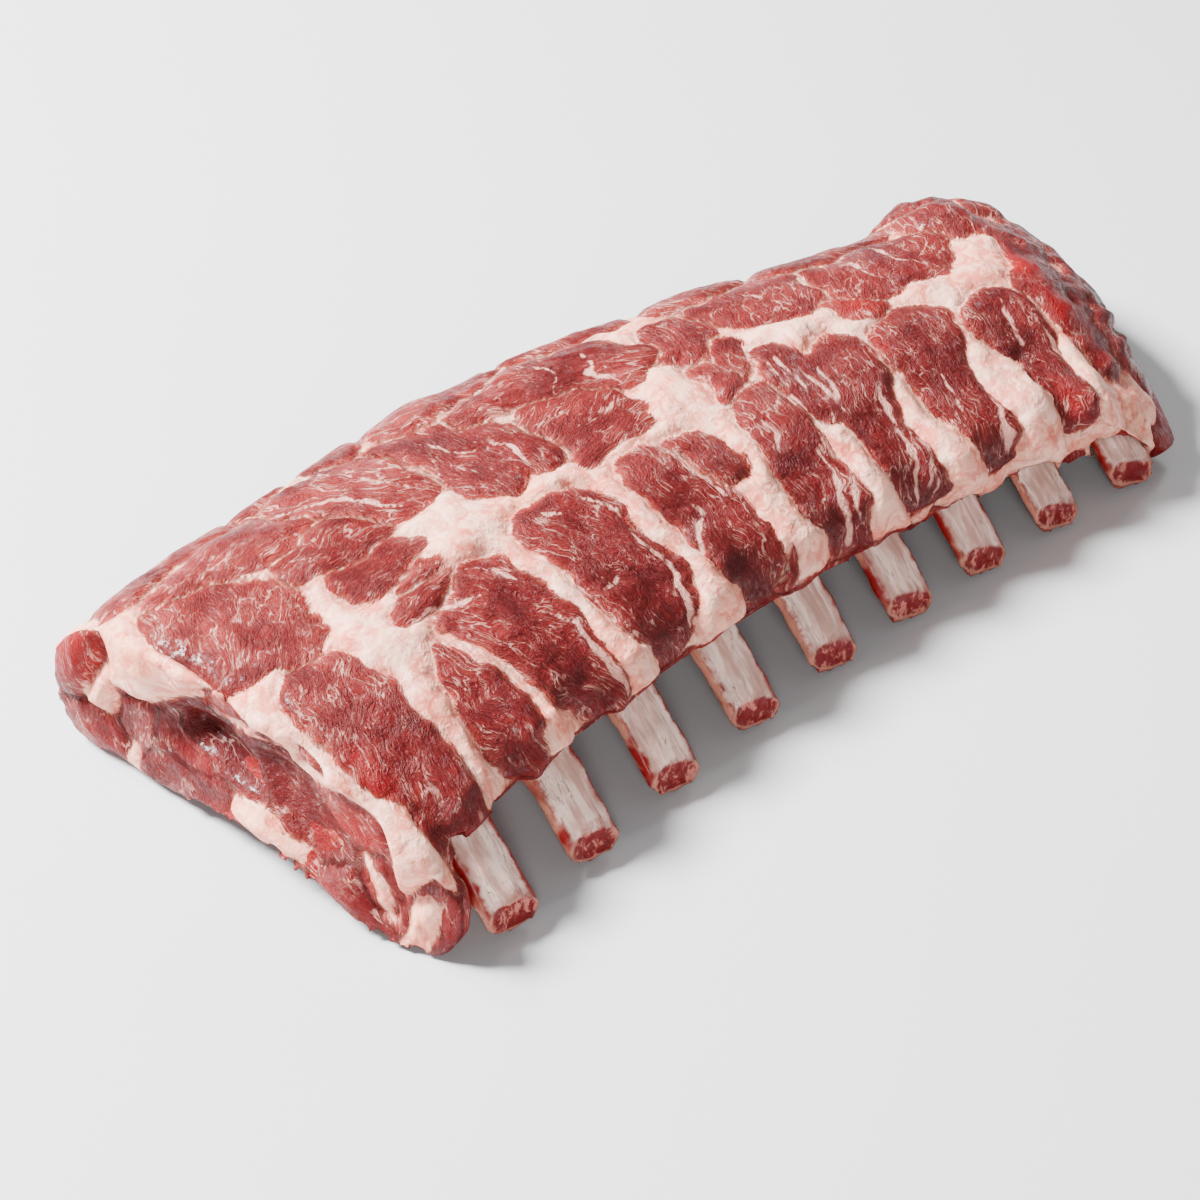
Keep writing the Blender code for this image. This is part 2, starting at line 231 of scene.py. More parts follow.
# %% Muscles of the back, in the same order
BACK_MUSCLES = [
    (60, -0.1, [(-150, 79), (-142, 78), (-138, 82), (-135, 92), (-133, 102), (-136, 112), (-140, 120),
      (-146, 126), (-155, 131), (-165, 129), (-168, 118), (-167, 104), (-165, 92), (-161, 87),
      (-151, 86)]),
    (12, 0.25, [(-124, 92), (-120, 86), (-110, 84), (-104, 88), (-97, 92), (-97, 98), (-104, 101),
      (-112, 102), (-120, 100), (-124, 97)]),
    (10, 0.3, [(-129, 110), (-122, 106), (-112, 102), (-104, 104), (-98, 107), (-98, 112), (-102, 118),
      (-106, 123), (-112, 124), (-121, 118), (-128, 117)]),
    (8, -0.25, [(-140, 129), (-130, 122), (-120, 120), (-108, 125), (-111, 132), (-116, 140),
      (-130, 141), (-146, 138), (-158, 136), (-150, 131)]),
    (128, -0.05, [(-113, 134), (-104, 124), (-98, 116), (-90, 108), (-84, 107), (-80, 110), (-76, 111),
      (-78, 118), (-76, 126), (-80, 134), (-90, 138), (-100, 140), (-112, 139)]),
    (107, 0.25, [(-68, 90), (-62, 88), (-58, 96), (-55, 90), (-47, 90), (-43, 98), (-44, 108),
      (-48, 115), (-55, 120), (-62, 126), (-72, 134), (-78, 136), (-76, 120), (-74, 108),
      (-73, 98)]),
    (20, 0.2, [(-40, 79), (-36, 84), (-30, 85), (-24, 82), (-18, 84), (-17, 90), (-14, 94), (-16, 100),
      (-16, 108), (-22, 112), (-30, 115), (-36, 118), (-41, 112), (-42, 98), (-42, 86)]),
    (160, 0.0, [(-57, 130), (-48, 123), (-36, 121), (-32, 117), (-22, 114), (-16, 110), (-8, 105),
      (-4, 109), (-2, 112), (2, 110), (6, 114), (8, 119), (2, 124), (-1, 130), (-8, 132), (-18, 135),
      (-26, 134), (-30, 129), (-40, 130)]),
    (150, -0.05, [(-70, 138), (-62, 133), (-50, 133), (-40, 136), (-30, 140), (-24, 146), (-40, 151),
      (-58, 150), (-68, 146)]),
    (75, 0.1, [(5, 108), (10, 104), (15, 101), (20, 104), (22, 112), (27, 118), (27, 126), (20, 126),
      (12, 121), (9, 114)]),
    (65, 0.15, [(30, 119), (34, 115), (42, 108), (48, 105), (58, 106), (64, 112), (64, 124), (60, 132),
      (50, 128), (42, 126), (34, 128), (28, 126)]),
    (60, 0.1, [(67, 106), (70, 99), (80, 99), (84, 104), (92, 100), (100, 103), (106, 110), (112, 120),
      (116, 130), (104, 134), (90, 132), (80, 126), (70, 126), (65, 118)]),
    (60, -0.4, [(60, 93), (66, 90), (72, 92), (72, 98), (66, 102), (63, 105), (60, 101)]),
    (150, -0.1, [(-160, 141), (-142, 140), (-122, 143), (-118, 150), (-130, 156), (-150, 158),
      (-166, 151)]),
    (140, -0.1, [(-116, 145), (-106, 147), (-98, 151), (-102, 158), (-114, 156)]),
    (140, -0.1, [(-92, 143), (-80, 141), (-74, 147), (-78, 156), (-90, 157)]),
    (130, 0.0, [(-20, 139), (-6, 137), (4, 141), (14, 137), (20, 144), (12, 152), (-6, 154),
      (-18, 148)]),
    (130, 0.0, [(26, 134), (40, 132), (52, 137), (60, 146), (50, 152), (34, 148), (27, 141)]),
    (130, 0.0, [(62, 134), (78, 130), (92, 136), (104, 138), (112, 146), (100, 154), (80, 152),
      (66, 144)]),
]
print("muscles drawn:", len(FRONT_MUSCLES) + len(BACK_MUSCLES))

# %% [markdown]
# Low on the back, the ends of the same muscles lean over each other in a row set out by a loop.


# %% The row of muscle ends low on the back
FIRST_LEAF, LEAF_PITCH = -152, 25.5
LEAF_GRAIN = 115  # degrees


def leaning_leaf(middle, low, high, half_width, lean):
    """A pointed leaf that leans along the rack as it rises."""
    height = high - low
    sides = [(0.0, 0.0), (0.85, 0.25), (1.0, 0.55), (0.7, 0.85), (0.0, 1.0)]
    right = [(middle + half_width * w + lean * h, low + height * h) for w, h in sides]
    left = [(middle - half_width * w + lean * h, low + height * h) for w, h in sides[-2:0:-1]]
    return right + left


LOW_LEAVES = []
for i in range(11):
    leaf = leaning_leaf(FIRST_LEAF + LEAF_PITCH * i, 160 + 3 * math.sin(2 * i), 192, 10.5, -7)
    LOW_LEAVES.append((LEAF_GRAIN, 0.1 * math.sin(3 * i), leaf))
SKIN_MUSCLES = FRONT_MUSCLES + BACK_MUSCLES + LOW_LEAVES
print("leaves low on the back:", len(LOW_LEAVES))

# %% [markdown]
# Thin white seams run through the muscles where two bundles of fibre meet. Each is a line on the
# map with half its greatest width in millimetres, and it runs out to nothing at both ends.

# %% Seams inside the muscles
SEAMS = [
    (0.9, [(-83, 18), (-82, 28), (-84, 38), (-88, 46)]),
    (0.6, [(-119, 66), (-111, 67), (-103, 64), (-96, 60)]), (0.35, [(-96, 74), (-89, 66), (-85, 57)]),
    (0.6, [(-70, 42), (-66, 41), (-61, 42)]), (0.5, [(-66, 41), (-69, 49)]),
    (0.7, [(-60, 69), (-64, 73), (-67, 78)]), (0.5, [(-57, 76), (-52, 68), (-48, 58)]),
    (0.8, [(-53, 18), (-50, 30), (-49, 40), (-50, 50)]),
    (0.7, [(-39, 37), (-33, 42), (-30, 44), (-26, 43)]), (0.6, [(-30, 44), (-31, 49)]),
    (0.6, [(-21, 48), (-20, 58), (-22, 66), (-23, 75)]), (0.7, [(7, 18), (10, 28), (12, 38), (14, 48)]),
    (0.5, [(13, 17), (12, 27), (16, 38), (18, 56)]), (0.7, [(3, 50), (6, 57), (8, 66)]),
    (0.35, [(24, 52), (26, 70), (28, 94)]), (0.35, [(21, 54), (22, 70), (25, 90)]),
    (0.4, [(30, 54), (30, 72), (32, 86)]), (0.4, [(34, 18), (38, 34), (42, 50), (48, 66)]),
    (0.5, [(39, 17), (42, 30), (44, 40)]), (0.4, [(31, 60), (36, 76)]),
    (0.6, [(70, 18), (70, 28), (73, 40), (76, 52)]), (0.4, [(60, 34), (64, 42), (66, 52)]),
    (0.5, [(100, 32), (104, 44), (106, 56)]), (0.4, [(96, 50), (100, 64), (101, 80)]),
    (0.6, [(-56, 92), (-54, 104), (-58, 118)]), (0.5, [(-66, 90), (-66, 104), (-72, 124)]),
    (0.6, [(-58, 108), (-70, 126)]), (0.7, [(-89, 110), (-97, 124), (-112, 137)]),
    (0.5, [(-83, 112), (-86, 124), (-92, 138)]), (0.4, [(-40, 100), (-32, 97), (-22, 98), (-16, 102)]),
    (0.5, [(-26, 116), (-20, 124), (-24, 134)]), (0.5, [(-10, 106), (-14, 116), (-8, 126)]),
    (0.5, [(51, 106), (50, 118), (46, 126)]), (0.5, [(84, 104), (80, 112), (82, 126)]),
    (0.5, [(100, 104), (94, 116), (96, 132)]),
]

# %% [markdown]
# ## The cut ends
# At the wide end the knife went through the muscles across their length, so the cut face has its
# own map: Y and Z in millimetres. Each patch there has a lie of fibres, a darkness, how far it
# stands out of the face or lies back in it, and its outline. The narrow end is seen edge on from
# the front, so its torn red strip and lumps are drawn on the skin's map.

# %% Patches of the wide end's cut face
# The patches that lie back in the hollow are given the most darkness: partly the muscles' own tone,
# partly painted shade in the hollow
WIDE_END = [
    (20, 0.6, -3.5, [(-38, 20), (-28, 27), (-20, 31), (-14, 35), (-2, 36), (5, 34), (4, 30), (-2, 26),
      (-6, 20), (-12, 17), (-24, 13), (-30, 15)]),
    (15, 1.1, -8.0, [(-5, 20), (0, 27), (6, 32), (14, 34), (24, 32), (31, 29), (28, 22), (14, 19),
      (6, 19)]),
    (60, 0.5, -3.5, [(15, 18), (20, 21), (29, 23), (32, 28), (37, 26), (38, 19), (33, 15), (24, 14)]),
    (35, 0.6, -1.5, [(6, 12), (10, 18), (20, 14), (32, 13), (38, 10), (42, 4), (38, 1), (28, 2),
      (18, 4), (10, 8)]),
    (80, 0.1, -1.0, [(38, 12), (39, 24), (44, 26), (50, 22), (50, 12), (45, 8)]),
    (70, 0.1, 1.0, [(54, 40), (60, 44), (66, 40), (72, 28), (72, 16), (62, 18), (58, 28)]),
    (50, 0.2, 0.0, [(50, 14), (60, 17), (70, 14), (71, 4), (60, -4), (48, 0), (47, 8)]),
    (25, 0.3, 0.5, [(-47, 3), (-40, 12), (-36, 18), (-28, 16), (-25, 10), (-30, 4), (-40, 0)]),
    (30, -0.6, -0.5, [(-46, 25), (-43, 33), (-36, 35), (-26, 34), (-23, 30), (-30, 25), (-38, 23)]),
    (45, -0.3, 0.0, [(-26, 40), (-20, 45), (-14, 44), (-15, 39)]),
    (35, -0.2, -0.5, [(0, 44), (6, 47), (14, 46), (20, 40), (18, 35), (12, 36)]),
    (60, -0.2, 0.0, [(-50, 14), (-44, 24), (-38, 22), (-42, 12), (-48, 8)]),
    (80, 0.1, 0.5, [(-70, -2), (-68, 20), (-62, 28), (-58, 20), (-60, 6), (-62, -4)]),
]

# Fat on that face: the band under the top edge, what hangs from it, and what lines the hollow
WIDE_END_FAT = [
    [(-62, 28), (-50, 40), (-30, 48), (-10, 53), (20, 55), (50, 54), (59, 46), (53, 40), (53, 31),
      (46, 25), (38, 27), (34, 32), (27, 33), (22, 38), (10, 35), (4, 38), (-12, 37), (-20, 34),
      (-28, 38), (-40, 37), (-46, 33), (-48, 25), (-48, 18), (-51, 14), (-54, 17), (-57, 24)],
    [(49, 34), (54, 34), (59, 25), (63, 18), (60, 16), (57, 20), (54, 15), (51, 17), (50, 25)],
    [(-26, 11), (-20, 16), (-14, 15), (-6, 19), (2, 18), (8, 17), (6, 12), (0, 9), (-12, 9)],
    [(-51, 5), (-45, 10), (-41, 18), (-36, 22), (-39, 24), (-44, 19), (-49, 11)],
    [(-64, 16), (-58, 20), (-53, 14), (-54, 6), (-52, -2), (-60, -5), (-61, 6)],
    [(41, 2), (42, 10), (46, 12), (47, 4)],
]
FLESH_IN_THAT_FAT = [
    [(-26, 39), (-22, 45), (-13, 45), (-14, 39)],
    [(-2, 43), (4, 47), (14, 47), (21, 41), (19, 36), (10, 38)],
    [(-12, 39), (-6, 43), (0, 41), (-4, 38)],
]

# %% Patches of the narrow end, on the skin's map
NARROW_END = [
    (70, 0.2, 0.3, [(113, 26), (121, 23), (127, 28), (128, 42), (127, 60), (129, 74), (135, 94),
      (144, 114), (153, 134), (146, 136), (138, 120), (129, 104), (121, 94), (114, 82), (111, 66),
      (112, 42)]),
    (75, 0.3, -0.5, [(131, 62), (138, 66), (147, 88), (156, 112), (160, 134), (154, 130), (145, 112),
      (137, 92), (131, 76)]),
    (70, 0.0, 0.5, [(131, 28), (140, 26), (146, 34), (143, 42), (132, 42), (130, 36)]),
    (60, 0.1, 0.8, [(118, 126), (126, 120), (134, 126), (132, 136), (122, 140), (116, 142)]),
    (60, 0.0, 0.8, [(140, 134), (150, 140), (154, 150), (146, 160), (136, 150)]),
    (60, 0.2, 0.8, [(118, 148), (130, 146), (134, 158), (126, 170), (114, 162)]),
    (60, 0.2, 0.8, [(148, 60), (160, 66), (168, 90), (170, 120), (162, 118), (154, 96)]),
    (60, 0.2, 0.0, [(150, 20), (160, 30), (168, 50), (160, 54), (150, 44)]),
]
print("patches on the ends:", len(WIDE_END) + len(NARROW_END))

# %% [markdown]
# ## Soft mounds
# Fat and muscle ends swell out of the skin in soft mounds. Each has its place on the map, its
# reach both ways and its height in millimetres.

# %% Mounds of the skin
MOUNDS = [
    (-128, 65, 13, 10, 1.8), (-134, 76, 8, 8, 0.9), (-88, 82, 13, 8, 1.8), (-84, 98, 12, 9, 1.2),
    (-58, 80, 15, 6, 1.2), (-18, 84, 16, 9, 1.6), (-6, 92, 9, 10, 1.2), (13, 80, 7, 5, 0.8),
    (38, 96, 10, 12, 1.6), (85, 94, 12, 6, 1.1), (108, 92, 8, 12, 1.3), (60, 88, 9, 5, 0.8),
    (-170, 128, 7, 10, 1.5), (-32, 134, 10, 5, 1.2), (14, 128, 14, 4, 1.0), (-98, 146, 14, 4, 1.0),
    (-157, 20, 5, 14, 1.6), (-130, 40, 5, 16, 0.9), (-112, 46, 4, 14, 0.6), (87, 40, 7, 16, 1.3),
    (120, 30, 6, 6, 1.2), (120, 58, 7, 12, 1.4), (141, 52, 9, 9, 2.4), (138, 34, 7, 6, 1.6),
    (123, 92, 6, 14, 1.0), (136, 118, 7, 12, 1.0), (124, 132, 9, 8, 1.8), (150, 146, 9, 9, 1.5),
]

# Lumps of the wide end's face: Y, Z, reach both ways, and how far they stand out of it
END_MOUNDS = [
    (40, 38, 11, 12, 2.6), (33, 33, 5, 6, 2.0), (56, 22, 4, 9, 1.8), (50, 30, 4, 7, 1.6),
    (24, 43, 8, 5, 1.8), (-10, 15, 14, 5, 1.6), (3, 17, 6, 5, 1.4), (-36, 10, 9, 7, 1.6),
    (63, 30, 9, 13, 1.6), (-52, 26, 6, 12, 1.8), (-58, 10, 6, 8, 1.8), (-44, 14, 4, 9, 1.0),
    (44, 6, 8, 6, 1.0), (24, 8, 10, 6, 1.0), (60, 8, 9, 8, 1.2), (-35, 37, 14, 5, 1.2),
    (0, 42, 14, 5, 0.9),
]
print("mounds:", len(MOUNDS) + len(END_MOUNDS))

# %% [markdown]
# ## Measuring against the outlines
# Each point of the skin needs to know how far inside a muscle it is. That distance is positive
# in the muscle and negative in the fat, and both the relief and the colours come from it. The
# corners of an outline are cut off twice first, which makes a smooth curve of a few points. A
# seam has such a margin too, so that the material can fray its edge with noise.


# %% Distances on the map
FAR_FROM_SEAM = 4.0


def rounded(outline):
    """Cuts the corners of a closed outline twice."""
    corners = np.array(outline, dtype=float)
    for _ in range(2):
        following = np.roll(corners, -1, axis=0)
        corners = np.stack([0.75 * corners + 0.25 * following, 0.25 * corners + 0.75 * following], 1)
        corners = corners.reshape(-1, 2)
    return corners


def line_distance(u, v, start, end):
    run = end - start
    share = np.clip(((u - start[0]) * run[0] + (v - start[1]) * run[1]) / (run @ run), 0, 1)
    return np.hypot(u - start[0] - share * run[0], v - start[1] - share * run[1])


def depth_inside(u, v, outline):
    """How far inside a closed outline each point is, negative outside it."""
    corners = rounded(outline)
    nearest = np.full(len(u), np.inf)
    inside = np.zeros(len(u), dtype=bool)
    for start, end in zip(corners, np.roll(corners, -1, axis=0)):
        nearest = np.minimum(nearest, line_distance(u, v, start, end))
        rise = end[1] - start[1]
        if rise:
            crossing = start[0] + (v - start[1]) * (end[0] - start[0]) / rise
            inside ^= ((start[1] > v) != (end[1] > v)) & (u < crossing)
    return np.where(inside, nearest, -nearest)


def seam_margin(u, v, line, half_width):
    """How far inside a seam each point is; a seam is thin at both its ends."""
    line = np.array(line, dtype=float)
    lengths = np.hypot(*np.diff(line, axis=0).T)
    margin, before = np.full(len(u), -FAR_FROM_SEAM), 0.0
    for start, end, length in zip(line, line[1:], lengths):
        share = ((u - start[0]) * (end - start)[0] + (v - start[1]) * (end - start)[1]) / length ** 2
        place = (before + np.clip(share, 0, 1) * length) / lengths.sum()
        width = half_width * np.sqrt(np.sin(math.pi * np.clip(place, 0.03, 0.97)))
        margin = np.maximum(margin, width - line_distance(u, v, start, end))
        before += length
    return margin


NEAR_ENOUGH = 14  # mm, past which no muscle is felt


class Flesh:
    """What each point of the skin is made of, gathered muscle by muscle."""

    def __init__(self, count):
        self.depth = np.full(count, -float(NEAR_ENOUGH))
        self.next_depth = np.full(count, -float(NEAR_ENOUGH))
        self.grain = np.zeros((count, 3))
        self.dark = np.zeros(count)
        self.push = np.zeros(count)

    def add(self, u, v, outline, angle, dark, number, push=0.0):
        low, high = np.min(outline, axis=0), np.max(outline, axis=0)
        low, high = low - NEAR_ENOUGH, high + NEAR_ENOUGH
        near = np.flatnonzero((u > low[0]) & (u < high[0]) & (v > low[1]) & (v < high[1]))
        depth = depth_inside(u[near], v[near], outline)
        better = depth > self.depth[near]
        second_best = np.maximum(self.next_depth[near], depth)
        self.next_depth[near] = np.where(better, self.depth[near], second_best)
        near, depth = near[better], depth[better]
        turn = math.radians(angle)
        run = u[near] * math.cos(turn) + v[near] * math.sin(turn)
        cross = v[near] * math.cos(turn) - u[near] * math.sin(turn)
        self.depth[near] = depth
        self.grain[near] = np.stack([run, cross, np.full(len(near), 7.3 * number)], 1)
        self.dark[near] = dark
        self.push[near] = push * smooth_step(-1.5, 5, depth)

    def grown(self, amount, seam):
        """Grows every muscle by an amount, but keeps a seam of fat where two of them meet."""
        return np.minimum(self.depth + amount, (self.depth - self.next_depth) / 2 - seam)


# %% [markdown]
# ## The meat
# The slab starts as a copy of its solid, rebuilt as even squares a little over a millimetre wide
# and smoothed, which takes the flat facets away. The relief comes from the distances above:
# muscles and fat both swell away from the crease between them, fibres make long low ridges, and
# the mounds stand on top.

# %% A fine skin for the slab
SKIN_SQUARE = 1.25 * MM
meat = copy_of("meat", "meat_skin")
remeshed(meat, SKIN_SQUARE)
base = smoothed(meat.data, vectors_of(meat.data, "co") / MM, 14)
set_points(meat.data, base)
outward = vectors_of(meat.data, "normal")
print("points of the skin:", len(base))

# %% Where each point lies
MAP_WANDER, FINE_MAP_WANDER = 2.6, 1.0  # mm that soft noise bends the outlines of the skin
FACE_WANDER, FINE_FACE_WANDER = 1.2, 0.5  # mm, the same on the cut face
wander = np.stack([noise_at(base, 9, seed) for seed in (3.0, 11.0)], 1)
fine_wander = np.stack([noise_at(base, 3.2, seed) for seed in (5.0, 17.0)], 1)
along, turn = skin_map(base)
map_u, map_v = np.stack([along, turn]) + MAP_WANDER * wander.T + FINE_MAP_WANDER * fine_wander.T
face_y, face_z = base[:, 1:].T + FACE_WANDER * wander.T + FINE_FACE_WANDER * fine_wander.T
on_wide_end = smooth_step(0.45, 0.75, -outward[:, 0]) * smooth_step(-146, -154, base[:, 0])
on_wide_end = spread(meat.data, on_wide_end, 6)
under = spread(meat.data, smooth_step(0.15, 0.6, -outward[:, 2]), 4)
print("points on the wide end:", int((on_wide_end > 0.5).sum()))

# %% [markdown]
# Over each rib a stripe of fat comes down from the ridge to the front edge. There the muscles are
# held back, and elsewhere they are grown a little, until only a seam of fat is left between them.

# %% What each point is made of
FAT_STRIPES = (-130, -106, -76, -42, -9, 21, 51, 82, 112)
MUSCLE_GROWTH, HELD_BACK, BACK_GROWTH = 2.4, 2.6, 1.4
SEAM_HALF_WIDTH = 0.35
NARROW_FROM, NARROW_FULL = 126, 132  # where the torn flesh of the narrow end begins

skin = Flesh(len(base))
for number, (angle, dark, outline) in enumerate(SKIN_MUSCLES):
    skin.add(map_u, map_v, outline, angle, dark, number)
for number, (angle, dark, push, outline) in enumerate(NARROW_END):
    skin.add(map_u, map_v, outline, angle, dark, 60 + number, push)
seam = np.max([seam_margin(map_u, map_v, line, half_width) for half_width, line in SEAMS], axis=0)

cut_face = Flesh(len(base))
for number, (angle, dark, push, outline) in enumerate(WIDE_END):
    cut_face.add(face_y, face_z, outline, angle, dark, 80 + number, push)
end_fat, in_fat = (
    np.max([depth_inside(face_y, face_z, outline) for outline in outlines], axis=0)
    for outlines in (WIDE_END_FAT, FLESH_IN_THAT_FAT)
)
end_depth = np.clip(np.maximum(-end_fat, in_fat), -NEAR_ENOUGH, 6)
end_crease = np.exp(-((cut_face.grown(1.0, 0.0)) / 0.9) ** 2)
cut = on_wide_end > 0.5
to_stripe = np.min([np.abs(map_u - middle) for middle in FAT_STRIPES], axis=0)
stripe = smooth_step(11, 6, to_stripe) * smooth_step(78, 58, turn)
growth = MUSCLE_GROWTH - HELD_BACK * stripe + BACK_GROWTH * smooth_step(95, 115, turn)
skin_depth = np.minimum(skin.grown(growth, SEAM_HALF_WIDTH), 8)
narrow = smooth_step(NARROW_FROM, NARROW_FULL, along + 2 * wander[:, 0])
corner = smooth_step(-148, -153, along) * smooth_step(12, 6, turn + 2 * wander[:, 0])
fleshy = np.maximum(narrow, corner)
skin_depth = skin_depth * (1 - fleshy) + fleshy * (4 * noise_at(base, 8, 71.0) + 1.6)
depth = skin_depth * (1 - on_wide_end) + end_depth * on_wide_end
grain = np.where(cut[:, None], cut_face.grain, skin.grain)
dark = np.where(cut, cut_face.dark, skin.dark)
push = skin.push * (1 - on_wide_end) + cut_face.push * on_wide_end
print("share that is muscle:", round(float((depth > 0).mean()), 2))

# %% [markdown]
# Under the rack, between the ribs, the meat is one sheet of flesh with a thin pale membrane over it,
# and the same flesh shows in the shadow below the front edge. In both places the flesh is darkened
# and reddened, which is partly its own colour and partly painted shade. Above each bone the fat
# comes down over its root.

# %% The underside and the front edge
SHADE_SEED = 400.0  # sets the fibres of this flesh apart from those of the muscles
rib_middles = [sum(corner[0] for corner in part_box(name)) / 2 / MM for name in rib_nodes]
to_rib = np.min([np.abs(base[:, 0] - middle) for middle in rib_middles], axis=0)
below_edge = smooth_step(11, 3, turn) * (turn > -91)
between = smooth_step(7, 11, to_rib + 1.5 * wander[:, 0])
shade = np.clip(np.maximum(under, below_edge * between), 0, 1) * (1 - on_wide_end)
shade_depth = 3 + 5 * noise_at(base * (1, 0.35, 1), 9, 23.0)
depth = depth * (1 - shade) + shade_depth * shade
shaded = shade > 0.5
grain[shaded] = np.stack([base[:, 1], base[:, 0], np.full(len(base), SHADE_SEED)], 1)[shaded]
# Painted shade: the flesh under the rack and below the front edge is darkened
dark = dark * (1 - shade) + 0.25 * shade
# Painted shade: the creases between the muscles of the cut face are darkened
dark += 0.9 * end_crease * on_wide_end
print("share in the shade:", round(float(shaded.mean()), 2))

# %% [markdown]
# Just above the table the relief is calmed and the skin settles towards its own average, so that
# the slab meets the table in a soft line, not in a fringe.

# %% The relief
MUSCLE_SWELL, FAT_SWELL, END_FAT_SWELL = 1.2, 1.3, 1.6
FIBRE_RISE, FINE_FIBRE_RISE = 0.42, 0.22
CREASE_DEPTH, SEAM_DEPTH, END_CREASE_DEPTH = 0.7, 0.3, 1.5
CREASE_WIDTH = 0.9
MOUND_RIM = 1.15  # times its reach, where a mound begins to rise
SINK = 1.1  # mm that the whole skin sinks, which makes room for the relief
TABLE_BAND = 3.0  # mm above the table in which nothing stands out
KNOB = np.array([0, -1.8, -1.0])  # mm that the fat over a bone root hangs out and down
ridges = noise_at(grain * (0.09, 0.42, 1), 1, 31.0)
fine_ridges = noise_at(grain * (0.2, 0.9, 1), 1, 37.0)
lumpy = noise_at(base, 6.5, 41.0)
big = noise_at(base, 17, 43.0)
muscle = smooth_step(-0.4, 0.8, depth)
fibrous = muscle * (FIBRE_RISE * ridges + FINE_FIBRE_RISE * fine_ridges)
puffy = FAT_SWELL + END_FAT_SWELL * on_wide_end
swell = MUSCLE_SWELL * (1 - np.exp(-np.maximum(depth, 0) / 3.0)) + puffy * smooth_step(0, 5, -depth)
crease = -CREASE_DEPTH * np.exp(-(depth / CREASE_WIDTH) ** 2)
crease -= SEAM_DEPTH * smooth_step(-1, 0.5, seam)
crease -= END_CREASE_DEPTH * end_crease * on_wide_end
soft = (1 - muscle) * ((0.8 - 0.55 * stripe) * lumpy + 0.12 * fine_wander[:, 0]) + 1.0 * big
height = swell + crease + fibrous + soft + push
for *place, rise in MOUNDS:
    height += rise * patch(along, turn, *place, MOUND_RIM, 0) * (1 - on_wide_end)
for *place, rise in END_MOUNDS:
    height += rise * patch(base[:, 1], base[:, 2], *place, MOUND_RIM, 0) * on_wide_end
height -= SINK
height *= 1 - 0.75 * under
near_table = smooth_step(0.3, TABLE_BAND, base[:, 2])
height = np.where(base[:, 2] < TABLE_BAND, np.minimum(height, 0) * near_table, height)
height = spread(meat.data, height, 1)
over_rib = smooth_step(10.5, 6.5, to_rib + 2.5 * wander[:, 0])
knob = over_rib * smooth_step(30, 14, turn) * smooth_step(-6, 4, turn) * (1 - on_wide_end)
sculpted = base + outward * height[:, None]
sculpted += knob[:, None] * KNOB * (1 + 0.8 * wander[:, 1:2])
low_at_end = smooth_step(9.5, 5, base[:, 2]) * smooth_step(-142, -152, base[:, 0])
low_down = np.maximum(smooth_step(4.5, 1.2, base[:, 2]), low_at_end)
sculpted = settled(meat.data, sculpted, low_down, 40)
height_kept = smooth_step(0.7, TABLE_BAND, sculpted[:, 2])
sculpted[:, 2] = np.maximum(sculpted[:, 2] * height_kept, ABOVE_TABLE)
foot = smooth_step(5.0, 2.0, sculpted[:, 2])
for axis in range(2):
    sculpted[:, axis] += foot * (spread(meat.data, sculpted[:, axis], 12) - sculpted[:, axis])
set_points(meat.data, sculpted)
meat.data.shade_smooth()
print("relief from", round(float(height.min()), 2), "to", round(float(height.max()), 2), "mm")

# %% [markdown]
# The material reads five things at each point: the depth in the muscle, the margin of the nearest
# seam, the lie of the fibres, and two sets of three tints. Flesh is tinted by darkness, which is
# each muscle's own tone and also painted shade under the rack, below the front edge and in the cut
# face's creases and hollow, by wet blood, partly painted shade under the rack, and by the thin pale
# veil that lies over some muscles. Fat is tinted towards peach, towards white, and by a blush.


# %% Tints
def patches(u, v, places):
    return np.max([strength * patch(u, v, *place) for strength, *place in places], axis=0)


BLOOD = [
    (1.0, 119, 55, 9, 34), (0.9, 122, 92, 8, 22), (0.5, 95, 28, 4, 12), (0.5, -135, 56, 4, 8),
    (0.5, 22, 38, 6, 12), (0.6, 58, 76, 4, 12), (0.7, 66, 97, 9, 9), (0.4, 3, 84, 5, 14),
    (0.6, -67, 81, 7, 5), (0.4, -128, 96, 7, 12), (0.3, 102, 92, 6, 8), (0.4, 85, 76, 4, 8),
    (0.5, -160, 4, 10, 14), (0.5, -156, 34, 5, 12), (0.5, 86, 94, 5, 8),
]
END_BLOOD = [
    (1.0, -36, 29, 11, 7), (0.9, 63, 33, 11, 14), (0.5, 22, 18, 12, 5), (0.6, 12, 41, 10, 6),
    (0.6, 58, 4, 14, 8), (0.5, -66, 12, 6, 18), (0.4, -36, 8, 12, 6),
]
PEACH = [
    (0.9, -165, 112, 6, 30), (0.8, -162, 84, 6, 12), (0.7, 141, 52, 12, 12), (0.5, 117, 14, 14, 8),
    (0.6, -66, 84, 12, 8), (0.4, 34, 112, 10, 6), (0.4, 112, 32, 6, 16), (0.5, -5, 98, 9, 9),
]
END_PEACH = [(0.9, 38, 46, 14, 7), (0.8, 50, 40, 8, 10), (0.6, -58, 8, 8, 10), (0.4, -8, 15, 16, 6)]
WHITE = [
    (0.8, 87, 36, 8, 22), (0.6, -88, 92, 14, 16), (0.5, 38, 98, 12, 14), (0.5, -18, 82, 18, 10),
    (0.6, -128, 66, 12, 12), (0.4, -32, 134, 12, 6), (0.5, 82, 56, 4, 12), (0.4, 52, 48, 4, 18),
]
END_WHITE = [(1.0, 38, 36, 10, 10), (0.9, 56, 22, 6, 12), (0.6, 24, 43, 8, 5), (0.4, -30, 38, 20, 6)]


def on_skin_and_end(places, end_places):
    """Patches on the skin's map, and others on the cut face's own."""
    over_end = patches(face_y, face_z, end_places) * on_wide_end
    return patches(map_u, map_v, places) * (1 - on_wide_end) + over_end


